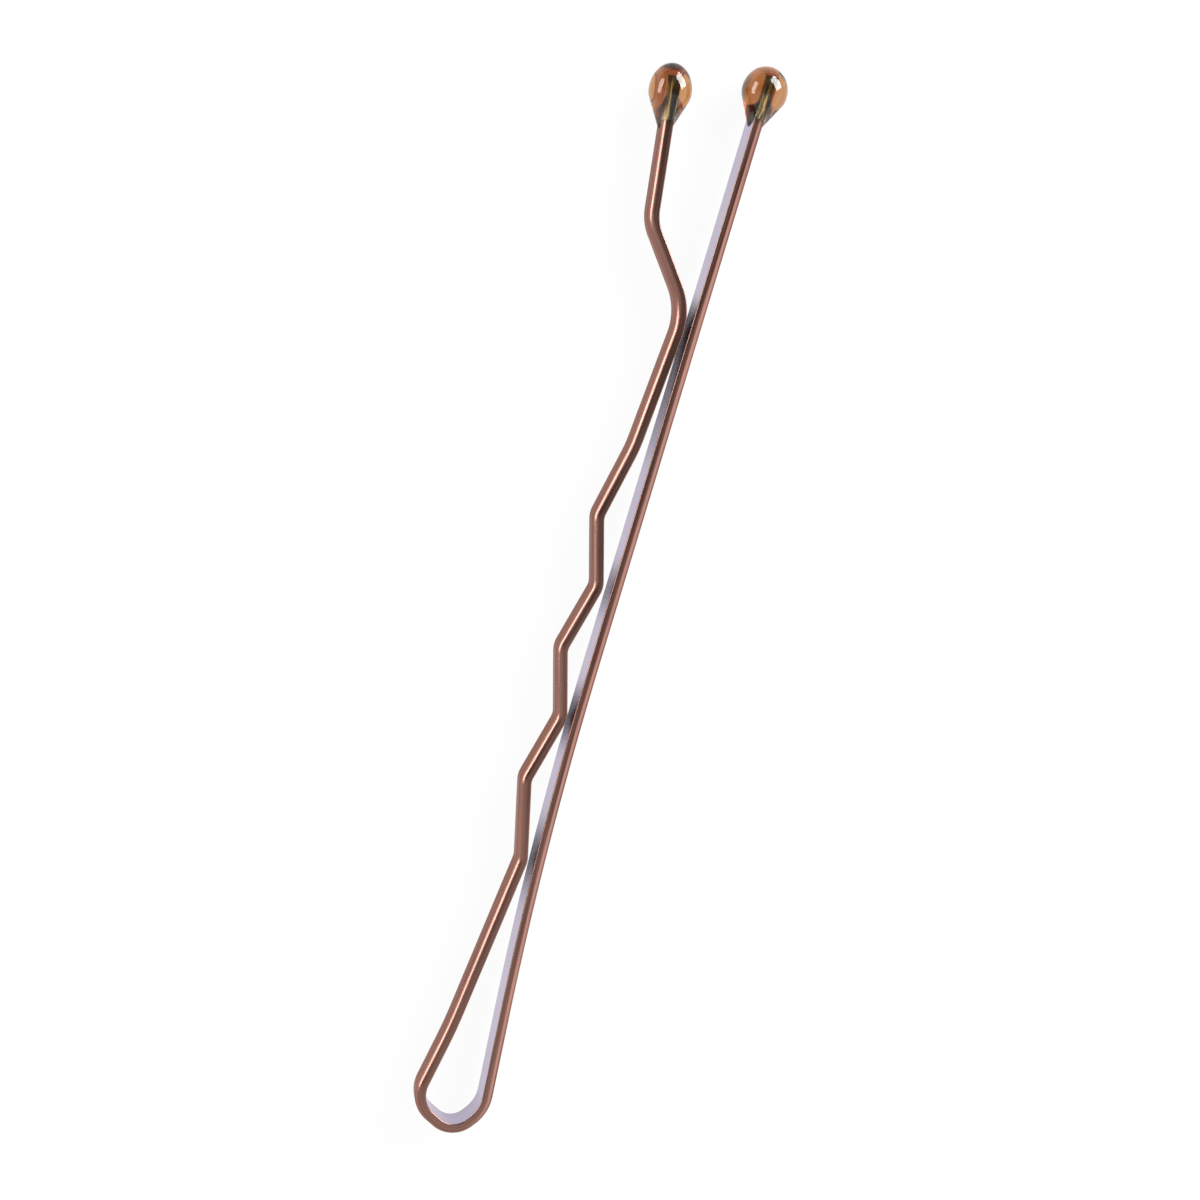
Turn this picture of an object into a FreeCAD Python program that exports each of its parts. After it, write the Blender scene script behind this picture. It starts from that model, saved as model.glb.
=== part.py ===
"""Bobby pin: one bent strip of spring steel, flat inside and rounded outside, with two resin beads.

The pin lies on its side. X runs across the two legs, Y along them from the bow to the beads,
and Z through the width of the strip. The strip is drawn on its centre line, in millimetres from
the sharp corner of the bow's point, with the upper straight leg on the line x = 0. Its three
stretches are separate solids that meet face to face, because the crimped leg swings about the bow.
"""

import FreeCAD, Part
import math
import os

import Sketcher
from FreeCAD import Placement, Rotation, Vector

# Driving dimensions: name, size in millimetres or degrees, meaning
SIZES = [
    ("strip_width", 1.7, "width of the strip"),
    ("strip_thickness", 0.62, "thickness of the strip"),
    ("outer_round", 0.42, "rounding of the strip's two outer corners"),
    ("inner_round", 0.06, "rounding of the strip's two inner corners"),
    ("leg_length", 59.05, "bow's point to the centre of the bead on the straight leg"),
    ("knee_height", 17, "height of the slight outward bend in the straight leg"),
    ("knee_radius", 230, "radius of that bend"),
    ("leg_lean", 5, "lean of the straight leg below that bend, in degrees"),
    ("bow_height", 3.5, "height where the bow meets both legs"),
    ("bow_side_height", 1.75, "height of the bow's first corner"),
    ("bow_side_radius", 2.1, "bend of the bow beside the straight leg"),
    ("bow_point_radius", 1.35, "bend of the bow at its point"),
    ("bow_back_radius", 1.65, "bend of the bow beside the crimped leg"),
    ("bow_width", 3.9, "bow's first corner to its last corner"),
    ("bow_back_height", 1.3, "height of the bow's last corner"),
    ("heel_height", 5.8, "height of the slight bend in the crimped leg above the bow"),
    ("heel_offset", 0.22, "how far that bend stands in from a straight line from bow to crimp"),
    ("heel_radius", 25, "radius of that bend"),
    ("crimp_count", 3, "number of crimps"),
    ("crimp_start", 15.85, "height of the first corner of the first crimp"),
    ("first_rise", 4.35, "length along the leg of the first crimp's outward run"),
    ("crimp_pitch", 7.4, "distance from one crimp's outer corner to the next"),
    ("crimp_return", 3.73, "length along the leg of a crimp's inward run"),
    ("crimp_depth", 1.085, "how far a crimp stands out"),
    ("crimp_gap", 0.08, "gap from the straight leg's line to the first crimp"),
    ("crimp_drift", 0.175, "how much further out each next crimp sits"),
    ("crimp_radius", 0.55, "bend at each crimp corner"),
    ("last_return", 4.05, "length along the leg of the last crimp's inward run"),
    ("press_rise", 7.75, "length along the leg of the stretch that leads to the contact"),
    ("press_lean", 3.9, "lean of that stretch towards the straight leg, in degrees"),
    ("press_radius", 8, "bend where that stretch begins"),
    ("contact_gap", 0.27, "gap between the legs where they come closest"),
    ("contact_radius", 3.6, "bend at the contact"),
    ("flare_rise", 3.95, "length along the leg of the flared stretch"),
    ("flare_lean", 38.2, "lean of the flare away from the straight leg, in degrees"),
    ("flare_radius", 2.6, "bend between the flare and the tip"),
    ("tip_run", 6.9, "flare's end to the centre of the bead on the crimped leg"),
    ("tip_lean", 8, "lean of the tip away from the straight leg, in degrees"),
    ("straight_bead_diameter", 2.45, "bead on the straight leg"),
    ("straight_bead_rise", 0.125, "how much higher that bead's top stands than a ball's"),
    ("crimped_bead_diameter", 2.3, "bead on the crimped leg"),
    ("crimped_bead_rise", 0.35, "how much higher that bead's top stands than a ball's"),
    ("bead_top_radius", 0.85, "bend at the top of each bead"),
    ("bead_neck_length", 2, "bead's widest place to the end of its neck"),
    ("bead_neck_diameter", 1, "bead's diameter at the end of its neck"),
    ("bead_reach", 0.75, "how far the strip reaches past the bead's widest place"),
    ("bead_fit", 0.01, "clearance between the strip and the resin round it"),
]

LEG_LEAN = "Sizes.leg_lean * 1 deg"
PRESS_LEAN = "Sizes.press_lean * 1 deg"
FLARE_LEAN = "Sizes.flare_lean * 1 deg"
TIP_LEAN = "Sizes.tip_lean * 1 deg"
NO_LEAN = "0 deg"


# Document and sheet


def fill_sheet():
    """Write the driving dimensions into the document's sheet, one named cell to a row."""
    sizes = doc.addObject("Spreadsheet::Sheet", "Sizes")
    for row, (alias, number, meaning) in enumerate(SIZES, start=1):
        sizes.set(f"A{row}", meaning)
        sizes.set(f"B{row}", str(number))
        sizes.setAlias(f"B{row}", alias)
    doc.recompute()
    return sizes


def amount(expression):
    """Return what an expression over the sheet comes to, as a plain number."""
    result = sheet.evalExpression(expression)
    return float(getattr(result, "Value", result))


def point(place):
    """Return the point at a place, which is a pair of expressions for its x and its y."""
    return Vector(amount(place[0]), amount(place[1]), 0)


def along(place, length, lean):
    """Return the place at some length up a line that leans to -X by an angle."""
    return f"{place[0]} - ({length}) * sin({lean})", f"{place[1]} + ({length}) * cos({lean})"


def above(place, rise, lean):
    """Return the place at some height over another, on a line that leans to -X by an angle."""
    return f"{place[0]} - ({rise}) * tan({lean})", f"{place[1]} + ({rise})"


def level(height, low, high):
    """Return the place at some height on the line through two others."""
    share = f"({height} - ({low[1]})) / ({high[1]} - ({low[1]}))"
    return f"{low[0]} + ({high[0]} - ({low[0]})) * {share}", height


# Sketches


def new_sketch(body, name, role):
    """Add a sketch on one of the body's own origin planes."""
    sketch = body.newObject("Sketcher::SketchObject", name)
    plane = next(feature for feature in body.Origin.OriginFeatures if feature.Role == role)
    sketch.AttachmentSupport = [(plane, "")]
    sketch.MapMode = "FlatFace"
    return sketch


def relate(sketch, kind, *items):
    """Add a constraint without a size to a sketch."""
    sketch.addConstraint(Sketcher.Constraint(kind, *items))


def bind(sketch, expression, kind, *items):
    """Add a dimension to a sketch and tie it to the sheet."""
    index = sketch.addConstraint(Sketcher.Constraint(kind, *items, amount(expression)))
    sketch.setExpression(f"Constraints[{index}]", expression)


def pin_down(sketch, geometry, end, place):
    """Tie one point of a sketch to a place."""
    bind(sketch, place[0], "DistanceX", -1, 1, geometry, end)
    bind(sketch, place[1], "DistanceY", -1, 1, geometry, end)


def arc_about(centre, radius, begin, end):
    """Return an arc of a circle in a sketch's plane, between two angles."""
    return Part.ArcOfCircle(Part.Circle(centre, Vector(0, 0, 1), radius), begin, end)


def round_off(corner, before, after, radius):
    """Work out the arc that joins two straight runs at a sharp corner.

    Returns:
        The arc, the points where it leaves the first run and meets the second, and the
        sketch's numbers for those two ends, since every arc in a sketch runs anticlockwise.
    """
    arriving = (corner - before).normalize()
    leaving = (after - corner).normalize()
    setback = radius * math.tan(arriving.getAngle(leaving) / 2)
    start = corner - arriving * setback
    end = corner + leaving * setback
    side = math.copysign(1, arriving.cross(leaving).z)
    centre = start + Vector(0, 0, side).cross(arriving) * radius
    first, last = (start, end) if side > 0 else (end, start)
    angles = [math.atan2(edge.y - centre.y, edge.x - centre.x) for edge in (first, last)]
    return arc_about(centre, radius, *angles), start, end, (1, 2) if side > 0 else (2, 1)


def bent_line(body, places, radii):
    """Draw a line of straight runs through some places, with a tangent arc at each corner.

    Args:
        places: the line's two ends and, between them, its sharp corners, in travel order.
        radii: an expression for the bend at each corner.
    """
    sketch = new_sketch(body, "centre_line", "XY_Plane")
    points = [point(place) for place in places]
    corners = range(1, len(points) - 1)
    bends = [
        round_off(points[corner], points[corner - 1], points[corner + 1], amount(radius))
        for corner, radius in zip(corners, radii)
    ]
    starts = [points[0]] + [end for _, _, end, _ in bends]
    stops = [start for _, start, _, _ in bends] + [points[-1]]
    runs = [sketch.addGeometry(Part.LineSegment(*ends)) for ends in zip(starts, stops)]
    pin_down(sketch, runs[0], 1, places[0])
    pin_down(sketch, runs[-1], 2, places[-1])
    for corner, radius, (arc, _, _, ends) in zip(corners, radii, bends):
        before, after = runs[corner - 1], runs[corner]
        bend = sketch.addGeometry(arc)
        mark = sketch.addGeometry(Part.Point(points[corner]), True)
        pin_down(sketch, mark, 1, places[corner])
        relate(sketch, "PointOnObject", mark, 1, before)
        relate(sketch, "PointOnObject", mark, 1, after)
        relate(sketch, "Tangent", before, 2, bend, ends[0])
        relate(sketch, "Tangent", bend, ends[1], after, 1)
        bind(sketch, radius, "Radius", bend)
    return sketch


def strip_section(body, place, lean, outer, clearance="0"):
    """Draw the strip's section, square to a line through a place: flat inside, rounded outside.

    Args:
        lean: how far that line leans to -X, an angle.
        outer: 1 where the strip's outer side faces +X, and -1 where it faces -X.
        clearance: how much the section is grown on every side.
    """
    sketch = new_sketch(body, "section", "XZ_Plane")
    offset = Vector(amount(place[0]), 0, -amount(place[1]))
    sketch.AttachmentOffset = Placement(offset, Rotation(Vector(0, 1, 0), amount(lean)))
    sketch.setExpression("AttachmentOffset.Base.x", place[0])
    sketch.setExpression("AttachmentOffset.Base.z", f"-({place[1]})")
    if lean != NO_LEAN:
        sketch.setExpression("AttachmentOffset.Rotation.Angle", lean)

    thickness = f"Sizes.strip_thickness + 2 * {clearance}"
    width = f"Sizes.strip_width + 2 * {clearance}"
    roundings = [f"Sizes.outer_round + {clearance}", f"Sizes.inner_round + {clearance}"]
    right, left = roundings if outer > 0 else reversed(roundings)
    radii = [amount(rounding) for rounding in (right, left, left, right)]
    reaches = [amount(thickness) / 2, amount(width) / 2]
    sides = []
    corners = []
    for quarter, radius in enumerate(radii):
        turn = Rotation(Vector(0, 0, 1), 90 * quarter)
        reach, half = reaches[quarter % 2], reaches[1 - quarter % 2]
        begin = turn.multVec(Vector(reach, radii[quarter - 1] - half, 0))
        end = turn.multVec(Vector(reach, half - radius, 0))
        centre = turn.multVec(Vector(reach - radius, half - radius, 0))
        angle = math.pi / 2 * quarter
        sides.append(sketch.addGeometry(Part.LineSegment(begin, end)))
        corners.append(sketch.addGeometry(arc_about(centre, radius, angle, angle + math.pi / 2)))
    for quarter, direction in enumerate(("Vertical", "Horizontal", "Vertical", "Horizontal")):
        relate(sketch, direction, sides[quarter])
        relate(sketch, "Tangent", sides[quarter], 2, corners[quarter], 1)
        relate(sketch, "Tangent", corners[quarter], 2, sides[(quarter + 1) % 4], 1)
    relate(sketch, "Equal", corners[0], corners[3])
    relate(sketch, "Equal", corners[1], corners[2])
    bind(sketch, right, "Radius", corners[0])
    bind(sketch, left, "Radius", corners[1])
    bind(sketch, thickness, "DistanceX", sides[2], 1, sides[0], 2)
    bind(sketch, width, "DistanceY", sides[3], 2, sides[1], 1)
    bind(sketch, f"({thickness}) / 2", "DistanceX", -1, 1, sides[0], 1)
    bind(sketch, f"({width}) / 2", "DistanceY", -1, 1, sides[1], 1)
    return sketch


def drop_outline(body, diameter, rise):
    """Draw one side of a drop, up against the Y axis: an egg that tapers to a neck.

    The egg's lower part is a ball. A wider arc leads on from its widest place to the rounded top.

    Args:
        diameter: an expression for the drop's diameter.
        rise: an expression for how much higher its top stands than a ball's.
    """
    crown = f"{diameter} / 2 + {rise}"
    radius = amount(diameter) / 2
    neck = Vector(amount("Sizes.bead_neck_diameter") / 2, -amount("Sizes.bead_neck_length"), 0)
    touch = math.atan2(neck.y, neck.x) + math.acos(radius / neck.Length)
    hip = Vector(math.cos(touch), math.sin(touch), 0) * radius
    foot = Vector(0, neck.y, 0)
    top = Vector(0, amount(crown), 0)
    top_radius = amount("Sizes.bead_top_radius")
    top_centre = Vector(0, top.y - top_radius, 0)
    excess = radius**2 + top_centre.y**2 - top_radius**2
    side_radius = excess / (2 * (radius - top_radius))
    side_centre = Vector(radius - side_radius, 0, 0)
    joint = math.atan2(top_centre.y, -side_centre.x)

    sketch = new_sketch(body, "outline", "XY_Plane")
    ball = sketch.addGeometry(arc_about(Vector(0, 0, 0), radius, touch, 0))
    side = sketch.addGeometry(arc_about(side_centre, side_radius, 0, joint))
    cap = sketch.addGeometry(arc_about(top_centre, top_radius, joint, math.pi / 2))
    taper = sketch.addGeometry(Part.LineSegment(hip, neck))
    base = sketch.addGeometry(Part.LineSegment(neck, foot))
    axis = sketch.addGeometry(Part.LineSegment(foot, top))
    relate(sketch, "Coincident", ball, 3, -1, 1)
    relate(sketch, "PointOnObject", side, 3, -1)
    relate(sketch, "PointOnObject", cap, 3, -2)
    relate(sketch, "Tangent", ball, 1, taper, 1)
    relate(sketch, "Tangent", ball, 2, side, 1)
    relate(sketch, "Tangent", side, 2, cap, 1)
    relate(sketch, "Coincident", taper, 2, base, 1)
    relate(sketch, "Coincident", base, 2, axis, 1)
    relate(sketch, "Coincident", axis, 2, cap, 2)
    relate(sketch, "Horizontal", base)
    relate(sketch, "PointOnObject", axis, 1, -2)
    bind(sketch, f"{diameter} / 2", "Radius", ball)
    bind(sketch, "Sizes.bead_top_radius", "Radius", cap)
    pin_down(sketch, taper, 2, ("Sizes.bead_neck_diameter / 2", "-Sizes.bead_neck_length"))
    pin_down(sketch, axis, 2, ("0", crown))
    return sketch


# Sub-parts


def strip_piece(label, places, radii, lean, outer):
    """Make one stretch of the strip by sweeping its section along its centre line.

    Args:
        lean: how far the stretch's first run leans to -X, an angle.
        outer: 1 where that run's outer side faces +X, and -1 where it faces -X.
    """
    body = doc.addObject("PartDesign::Body", label)
    body.Label = label
    line = bent_line(body, places, radii)
    section = strip_section(body, places[0], lean, outer)
    sweep = body.newObject("PartDesign::AdditivePipe", "sweep")
    sweep.Profile = section
    sweep.Spine = (line, [])
    doc.recompute()
    return body


def bead(label, diameter, rise, place, lean, outer):
    """Make a drop of resin round the end of the strip, with a socket that the strip fills.

    Args:
        diameter: an expression for the bead's diameter.
        rise: an expression for how much higher its top stands than a ball's.
        place: the middle of its widest place, on the strip's centre line.
        lean: how far the strip leans to -X there, an angle.
        outer: 1 where the strip's outer side faces +X there, and -1 where it faces -X.
    """
    body = doc.addObject("PartDesign::Body", label)
    body.Label = label
    outline = drop_outline(body, diameter, rise)
    drop = body.newObject("PartDesign::Revolution", "drop")
    drop.Profile = outline
    drop.ReferenceAxis = (outline, ["V_Axis"])
    drop.Angle = 360
    doc.recompute()
    whole = body.Shape.Volume

    strip_end = ("0", "Sizes.bead_reach + Sizes.bead_fit")
    socket = body.newObject("PartDesign::Pocket", "socket")
    socket.Profile = strip_section(body, strip_end, NO_LEAN, outer, "Sizes.bead_fit")
    socket.Reversed = True
    socket.setExpression("Length", f"{strip_end[1]} + Sizes.bead_neck_length + Sizes.bead_fit")
    doc.recompute()
    if body.Shape.Volume >= whole:
        raise RuntimeError(f"the socket of {label} cuts nothing")

    body.Placement = Placement(point(place), Rotation(Vector(0, 0, 1), amount(lean)))
    return body


def crimp_corners():
    """Return the places of the crimps' corners, from the bow's end to the contact's."""
    places = []
    for number in range(int(sheet.crimp_count)):
        offset = f"Sizes.strip_thickness + Sizes.crimp_gap + {number} * Sizes.crimp_drift"
        height = f"Sizes.crimp_start + Sizes.first_rise + {number} * Sizes.crimp_pitch"
        start = f"{height} - Sizes.crimp_pitch + Sizes.crimp_return" if number else "Sizes.crimp_start"
        places.append((f"-({offset})", start))
        places.append((f"-({offset} + Sizes.crimp_depth)", height))
    return places


def contact_corner(last_crimp):
    """Return the place of the contact's sharp corner.

    The bend's crest, where the strip runs along Y, lies inside the sharp corner by the recess,
    and the crest is what stands off from the straight leg by the gap.
    """
    half_turn = "(Sizes.press_lean + Sizes.flare_lean) / 2 * 1 deg"
    slope = f"tan({half_turn}) * sin({PRESS_LEAN}) - 1 + cos({PRESS_LEAN})"
    recess = f"Sizes.contact_radius * ({slope})"
    crest = "Sizes.strip_thickness + Sizes.contact_gap"
    return f"{recess} - ({crest})", f"{last_crimp[1]} + Sizes.last_return + Sizes.press_rise"


def pin_pieces():
    """Make every sub-part of the pin from the places along its centre line."""
    straight_bead_centre = ("0", "Sizes.leg_length")
    straight_end = along(straight_bead_centre, "Sizes.bead_reach", NO_LEAN)
    knee = ("0", "Sizes.knee_height")
    bow_start = above(knee, "Sizes.bow_height - Sizes.knee_height", LEG_LEAN)
    bow_side = above(knee, "Sizes.bow_side_height - Sizes.knee_height", LEG_LEAN)
    bow_point = ("0", "0")
    bow_back = (f"{bow_side[0]} - Sizes.bow_width", "Sizes.bow_back_height")
    crimps = crimp_corners()
    unbent = level("Sizes.heel_height", bow_back, crimps[0])
    heel = (f"{unbent[0]} + Sizes.heel_offset", unbent[1])
    bow_end = level("Sizes.bow_height", bow_back, heel)
    contact = contact_corner(crimps[-1])
    press = above(contact, "-Sizes.press_rise", f"-({PRESS_LEAN})")
    flare = above(contact, "Sizes.flare_rise", FLARE_LEAN)
    crimped_bead_centre = along(flare, "Sizes.tip_run", TIP_LEAN)
    crimped_end = along(crimped_bead_centre, "Sizes.bead_reach", TIP_LEAN)

    bow_radii = ["Sizes.bow_side_radius", "Sizes.bow_point_radius", "Sizes.bow_back_radius"]
    leg_radii = ["Sizes.flare_radius", "Sizes.contact_radius", "Sizes.press_radius"]
    leg_radii += ["Sizes.crimp_radius"] * len(crimps)
    leg_radii += ["Sizes.heel_radius"]
    crimped_line = [crimped_end, flare, contact, press, *reversed(crimps), heel, bow_end]
    bow_line = [bow_start, bow_side, bow_point, bow_back, bow_end]
    straight_line = [straight_end, knee, bow_start]
    straight_bead = ("Sizes.straight_bead_diameter", "Sizes.straight_bead_rise")
    crimped_bead = ("Sizes.crimped_bead_diameter", "Sizes.crimped_bead_rise")
    return [
        strip_piece("straight_leg", straight_line, ["Sizes.knee_radius"], NO_LEAN, 1),
        strip_piece("spring_bow", bow_line, bow_radii, LEG_LEAN, 1),
        strip_piece("crimped_leg", crimped_line, leg_radii, TIP_LEAN, -1),
        bead("straight_leg_bead", *straight_bead, straight_bead_centre, NO_LEAN, 1),
        bead("crimped_leg_bead", *crimped_bead, crimped_bead_centre, TIP_LEAN, -1),
    ]


# Whole pin


def set_on_ground(bodies):
    """Move the whole pin so that its origin lies under the middle of its box."""
    boxes = [body.Shape.optimalBoundingBox(False, False) for body in bodies]
    whole = FreeCAD.BoundBox()
    for box in boxes:
        whole.add(box)
    for body in bodies:
        body.Placement.Base -= Vector(whole.Center.x, whole.Center.y, whole.ZMin)


def check(bodies):
    """Stop if any object of the document failed or a sub-part is not one valid solid."""
    for item in doc.Objects:
        if {"Invalid", "Error"} & set(item.State):
            raise RuntimeError(f"{item.Name} failed: {item.State}")
    for body in bodies:
        if body.Shape.isNull() or not body.Shape.isValid() or len(body.Shape.Solids) != 1:
            raise RuntimeError(f"{body.Label} is not one valid solid")


doc = FreeCAD.newDocument("bobby_pin")
sheet = fill_sheet()
pieces = pin_pieces()
set_on_ground(pieces)
doc.recompute()
check(pieces)
os.makedirs("parts", exist_ok=True)
for piece in pieces:
    piece.Shape.exportStep(f"parts/{piece.Label}.step")
    print(piece.Label, f"{piece.Shape.Volume:.3f} mm3")
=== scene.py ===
"""Bobby pin: a bent strip of brown lacquered spring steel with a drop of amber resin on each tip.

The strip's section, flat inside and rounded outside, is carried along its centre line in three
stretches: the straight leg, the bow and the crimped leg. The legs ride on the part's two bodies and
the bow lies between them, on neither. Each drop of resin is a lofted surface that flows from a ball down onto
the strip.
and become metres in the part's frame when a mesh is made.
"""

import logging
import math
from dataclasses import dataclass
from enum import Enum
from typing import Any, NamedTuple

import bpy
import numpy as np
from mathutils import Matrix, Vector


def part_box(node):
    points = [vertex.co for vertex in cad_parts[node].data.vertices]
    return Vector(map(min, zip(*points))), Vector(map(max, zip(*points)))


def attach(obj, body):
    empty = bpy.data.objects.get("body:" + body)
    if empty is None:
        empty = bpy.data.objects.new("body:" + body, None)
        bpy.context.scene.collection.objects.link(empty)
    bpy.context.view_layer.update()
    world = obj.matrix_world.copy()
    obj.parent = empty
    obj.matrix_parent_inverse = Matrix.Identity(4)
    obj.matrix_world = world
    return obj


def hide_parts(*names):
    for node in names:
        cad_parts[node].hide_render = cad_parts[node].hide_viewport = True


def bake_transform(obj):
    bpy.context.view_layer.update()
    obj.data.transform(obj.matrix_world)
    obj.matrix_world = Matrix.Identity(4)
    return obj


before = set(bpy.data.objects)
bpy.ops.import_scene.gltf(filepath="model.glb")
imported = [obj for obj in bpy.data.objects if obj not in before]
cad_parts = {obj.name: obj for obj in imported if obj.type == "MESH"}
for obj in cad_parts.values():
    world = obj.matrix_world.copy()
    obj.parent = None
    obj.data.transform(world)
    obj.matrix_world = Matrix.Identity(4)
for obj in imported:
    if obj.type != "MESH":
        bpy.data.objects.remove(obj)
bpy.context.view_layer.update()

log = logging.getLogger("bobby_pin")

Array = np.ndarray
Place = tuple[float, float]
Tree = bpy.types.NodeTree
Socket = bpy.types.NodeSocket

MM = 0.001
PICTURE = 1200

# Part of a noise's range that holds most of its values
NOISE_RANGE = {"From Min": 0.3, "From Max": 0.7}

# Numbers of a Mix node's colour sockets, which share their names with its other sockets
MIX_SHARE = 0
MIX_FIRST = 6
MIX_SECOND = 7
MIX_RESULT = 2


class Body(Enum):
    """The part's two rigid bodies."""

    STRAIGHT = "straight_side"
    CRIMPED = "crimped_side"


# Helpers for materials


def linear(colour: str) -> tuple[float, float, float, float]:
    """Turn an sRGB hex colour into linear red, green, blue and alpha.

    Args:
        colour: six hex digits after a hash sign.

    Returns:
        The colour's linear parts, with an alpha of one.
    """
    parts = np.array([int(colour[i : i + 2], 16) for i in (1, 3, 5)]) / 255
    curve = np.where(parts <= 0.04045, parts / 12.92, ((parts + 0.055) / 1.055) ** 2.4)
    return (*map(float, curve), 1.0)


def new_material(name: str) -> tuple[bpy.types.Material, Tree]:
    """Make an empty node material.

    Args:
        name: what the material is.

    Returns:
        The material and its node tree.
    """
    material = bpy.data.materials.new(name)
    material.use_nodes = True
    material.node_tree.nodes.clear()
    return material, material.node_tree


def add_node(tree: Tree, kind: str, inputs: dict | None = None, **settings: Any) -> bpy.types.Node:
    """Add a node to a tree, with its settings and with its inputs set or linked.

    Args:
        tree: the node tree.
        kind: the node's type name.
        inputs: a value, or an output to link from, for each input's name or number.
        settings: properties of the node.

    Returns:
        The new node.
    """
    node = tree.nodes.new(kind)
    for name, value in settings.items():
        setattr(node, name, value)
    for socket, value in (inputs or {}).items():
        if isinstance(value, bpy.types.NodeSocket):
            tree.links.new(value, node.inputs[socket])
        else:
            node.inputs[socket].default_value = value
    return node


# Helpers for meshes


def show(name: str, mesh: bpy.types.Mesh) -> bpy.types.Object:
    """Link a mesh into the scene as an object at the origin.

    Args:
        name: the object's name.
        mesh: its mesh.

    Returns:
        The object.
    """
    piece = bpy.data.objects.new(name, mesh)
    bpy.context.scene.collection.objects.link(piece)
    return piece


def surface(name: str, points: Array, faces: list[Array], normals: Array) -> bpy.types.Mesh:
    """Make a smooth mesh from whole arrays.

    Args:
        name: the mesh's name.
        points: corner points in metres, one row each.
        faces: groups of faces with as many corners each, as rows of point numbers.
        normals: the surface's normal at each corner of each face, in the same order.

    Returns:
        The mesh.
    """
    corners = np.concatenate([group.ravel() for group in faces])
    totals = np.concatenate([np.full(len(group), group.shape[1]) for group in faces])
    mesh = bpy.data.meshes.new(name)
    mesh.vertices.add(len(points))
    mesh.vertices.foreach_set("co", points.astype(np.float32).ravel())
    mesh.loops.add(len(corners))
    mesh.loops.foreach_set("vertex_index", corners.astype(np.int32))
    mesh.polygons.add(len(totals))
    mesh.polygons.foreach_set("loop_start", (np.cumsum(totals) - totals).astype(np.int32))
    mesh.polygons.foreach_set("use_smooth", np.ones(len(totals), bool))
    mesh.update(calc_edges=True)
    mesh.normals_split_custom_set(normals.tolist())
    return mesh


def tube_faces(rings: int, columns: int) -> Array:
    """Join the rings of a closed tube, with outward faces.

    Ring after ring of points runs anticlockwise about the direction of travel; each quad goes round
    its ring by one point and then on to the next ring.

    Args:
        rings: number of rings.
        columns: number of points in each ring.

    Returns:
        The quads, as rows of point numbers.
    """
    ring, column = np.meshgrid(np.arange(rings - 1), np.arange(columns), indexing="ij")
    here = ring * columns + column
    beside = ring * columns + (column + 1) % columns
    return np.stack([here, beside, beside + columns, here + columns], axis=-1).reshape(-1, 4)


# Centre line of the strip


class Track(NamedTuple):
    """Points along a line, with the direction of travel at each and the length so far."""

    points: Array
    headings: Array
    lengths: Array


@dataclass(frozen=True)
class BentLine:
    """A line of straight runs with a tangent arc at each corner.

    Attributes:
        places: the two ends and, between them, the sharp corners, in travel order.
        radii: the bend at each corner.
        run_step: longest step along a straight run.
        turn_step: largest turn from one point of an arc to the next, in degrees.
    """

    places: list[Place]
    radii: list[float]
    run_step: float = 0.8
    turn_step: float = 2.5

    def track(self) -> Track:
        """Lay points along the line.

        An arc of radius R leaves the run before it at a setback of R times the tangent of half
        the turn; its points lie at R from its centre, square to a heading that grows evenly.

        Returns:
            The points, with their headings and the length so far.
        """
        corners = np.array(self.places, float)
        runs = np.diff(corners, axis=0)
        headings = np.unwrap(np.arctan2(runs[:, 1], runs[:, 0]))
        points, directions = [corners[:1]], [headings[:1]]
        last = corners[0]
        for corner, radius, before, after in zip(corners[1:-1], self.radii, headings, headings[1:]):
            side = math.copysign(1, after - before)
            setback = radius * math.tan(abs(after - before) / 2)
            start = corner - setback * np.array([math.cos(before), math.sin(before)])
            centre = start + side * radius * np.array([-math.sin(before), math.cos(before)])
            count = max(2, math.ceil(abs(math.degrees(after - before)) / self.turn_step))
            turn = np.linspace(before, after, count + 1)
            arc = centre + side * radius * np.stack([np.sin(turn), -np.cos(turn)], axis=1)
            run = self._run(last, start)
            points += [run, arc]
            directions += [np.full(len(run), before), turn]
            last = arc[-1]
        run = self._run(last, corners[-1])
        points += [run, corners[-1:]]
        directions += [np.full(len(run), headings[-1]), headings[-1:]]
        path = np.concatenate(points)
        steps = np.linalg.norm(np.diff(path, axis=0), axis=1)
        return Track(path, np.concatenate(directions), np.concatenate([[0], np.cumsum(steps)]))

    def _run(self, first: Array, last: Array) -> Array:
        """Space points evenly along a straight run.

        Args:
            first: the run's first end.
            last: its other end.

        Returns:
            The points between the ends, without the ends.
        """
        count = math.ceil(np.linalg.norm(last - first) / self.run_step)
        share = np.arange(1, count)[:, None] / count
        return first + (last - first) * share


def step(place: Place, length: float, lean: float) -> Place:
    """Return the place at some length up a line that leans to -X by an angle in degrees."""
    angle = math.radians(lean)
    return place[0] - length * math.sin(angle), place[1] + length * math.cos(angle)


def level(height: float, low: Place, high: Place) -> Place:
    """Return the place at some height on the line through two others."""
    share = (height - low[1]) / (high[1] - low[1])
    return low[0] + (high[0] - low[0]) * share, height


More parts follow.
